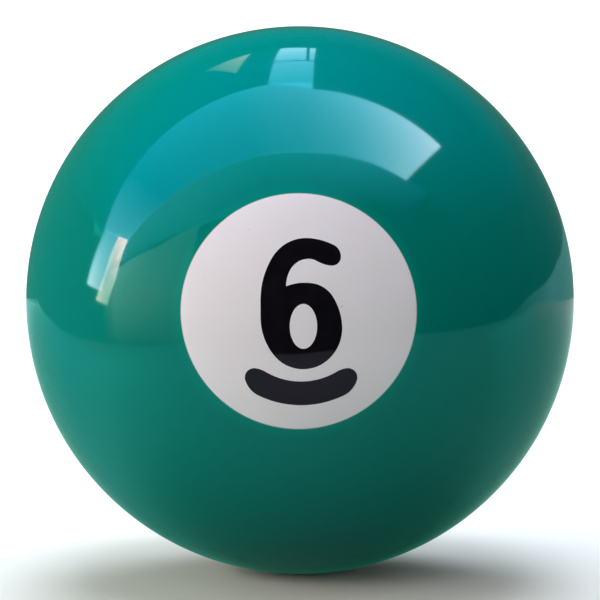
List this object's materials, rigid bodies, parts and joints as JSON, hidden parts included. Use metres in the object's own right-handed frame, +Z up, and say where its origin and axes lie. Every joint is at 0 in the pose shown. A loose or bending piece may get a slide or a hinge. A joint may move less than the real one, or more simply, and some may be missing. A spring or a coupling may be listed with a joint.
{
  "type": "numbered pool ball",
  "caption": "Solid glossy teal pool ball with a white number disc, an inlaid black numeral and a curved underline on two opposite sides.",
  "frame": {"origin": "centre of the ball", "axes": "+Z up when the numerals read upright; the number axis runs along Y, with the front number facing -Y and the back number facing +Y"},
  "size_m": [0.0572, 0.0572, 0.0572],
  "materials": {
    "ball_resin": "polished",
    "disc_resin": "polished",
    "inlay_resin": "polished"
  },
  "bodies": {
    "root": {"ball_body": "ball_resin", "number_disc_front": "disc_resin", "numeral_front": "inlay_resin", "underline_front": "inlay_resin", "number_disc_back": "disc_resin", "numeral_back": "inlay_resin", "underline_back": "inlay_resin"}
  },
  "joints": []
}
